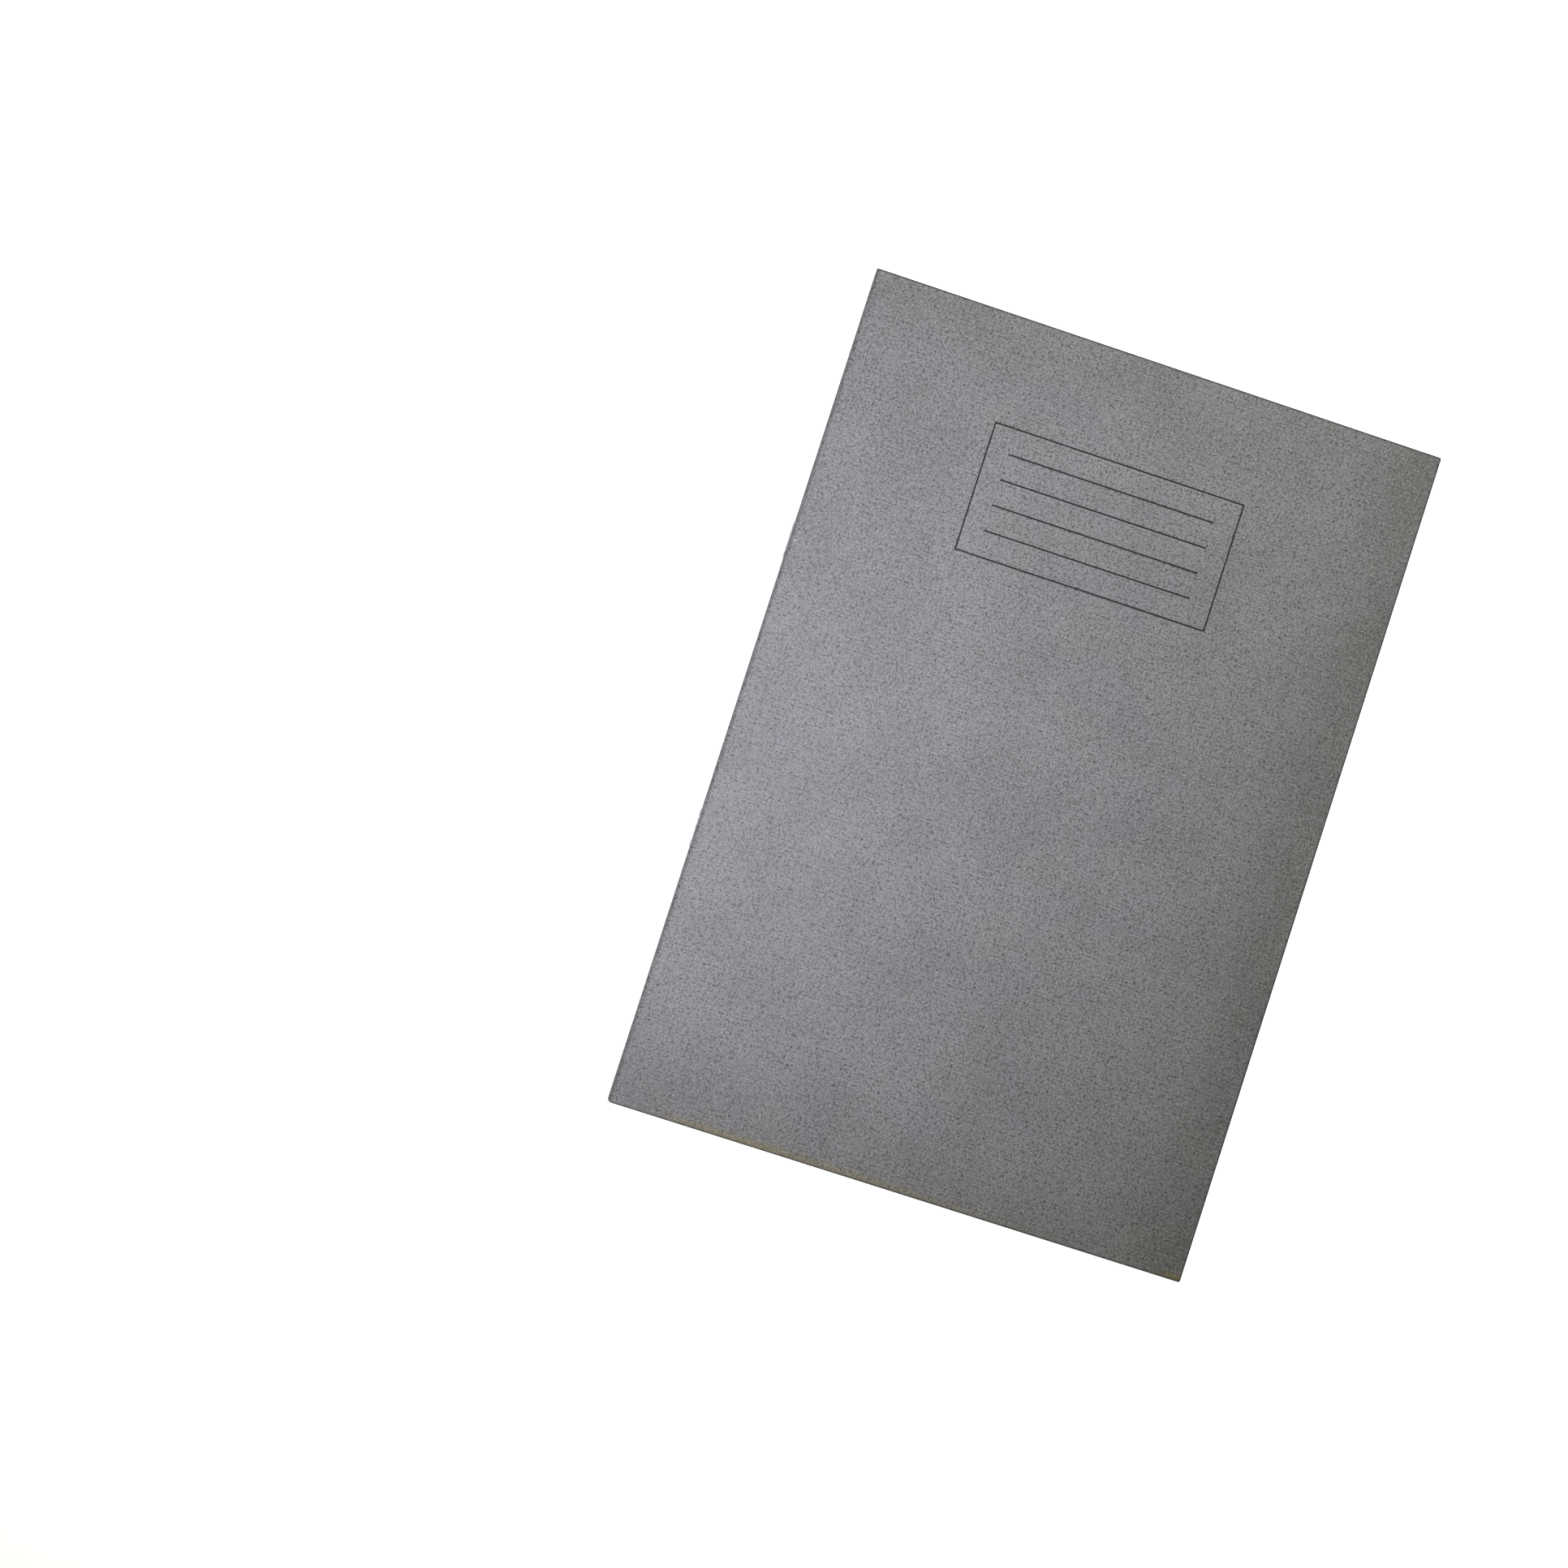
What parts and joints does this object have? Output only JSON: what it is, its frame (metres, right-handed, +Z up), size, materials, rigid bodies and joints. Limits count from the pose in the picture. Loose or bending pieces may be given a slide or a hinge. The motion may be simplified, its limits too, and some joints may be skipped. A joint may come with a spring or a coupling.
{
  "type": "stapled exercise book",
  "caption": "Saddle-stitched exercise book: ruled paper leaves folded into a grey card cover, held by wire staples through the fold; opens flat at its middle.",
  "frame": {"origin": "middle of the underside of the closed book, with the staple crowns counted in its width", "axes": "+X from the spine to the fore edge, +Y from the tail to the head, +Z up out of the front cover"},
  "size_m": [0.2054, 0.297, 0.0057],
  "materials": {
    "cover_card": "matte recycled card with fibre flecks",
    "page_paper": "uncoated white writing paper",
    "staple_wire": "galvanised round wire"
  },
  "bodies": {
    "back_half": {"back_cover": "cover_card", "leaf_21": "page_paper", "leaf_22": "page_paper", "leaf_23": "page_paper", "leaf_24": "page_paper", "leaf_25": "page_paper", "leaf_26": "page_paper", "leaf_27": "page_paper", "leaf_28": "page_paper", "leaf_29": "page_paper", "leaf_30": "page_paper", "leaf_31": "page_paper", "leaf_32": "page_paper", "leaf_33": "page_paper", "leaf_34": "page_paper", "leaf_35": "page_paper", "leaf_36": "page_paper", "leaf_37": "page_paper", "leaf_38": "page_paper", "leaf_39": "page_paper", "leaf_40": "page_paper"},
    "front_leaves": {"leaf_01": "page_paper", "leaf_02": "page_paper", "leaf_03": "page_paper", "leaf_04": "page_paper", "leaf_05": "page_paper", "leaf_06": "page_paper", "leaf_07": "page_paper", "leaf_08": "page_paper", "leaf_09": "page_paper", "leaf_10": "page_paper", "leaf_11": "page_paper", "leaf_12": "page_paper", "leaf_13": "page_paper", "leaf_14": "page_paper", "leaf_15": "page_paper", "leaf_16": "page_paper", "leaf_17": "page_paper", "leaf_18": "page_paper", "leaf_19": "page_paper", "leaf_20": "page_paper"},
    "front_cover": {"front_cover": "cover_card"},
    "spine": {"cover_spine": "cover_card", "sheet_folds": "page_paper", "staple_upper": "staple_wire", "staple_lower": "staple_wire"}
  },
  "joints": [
    {"name": "centre_fold", "type": "hinge", "parent": "back_half", "child": "front_leaves", "pos_m": [-0.09947, 0, 0.00285], "axis": [0, -1, 0], "range_deg": [0, 179.9], "deforming": ["sheet_folds", "cover_spine"]},
    {"name": "front_cover_fold", "type": "hinge", "parent": "front_leaves", "child": "front_cover", "pos_m": [-0.09847, 0, 0.0061], "axis": [0, 1, 0], "range_deg": [-179.9, 0]},
    {"name": "spine_fold", "type": "hinge", "parent": "back_half", "child": "spine", "pos_m": [-0.09947, 0, 0.00285], "axis": [0, -1, 0], "range_deg": [0, 89.95]}
  ],
  "couplings": [
    {"joint": "spine_fold", "follows": "centre_fold", "ratio": 0.5}
  ]
}
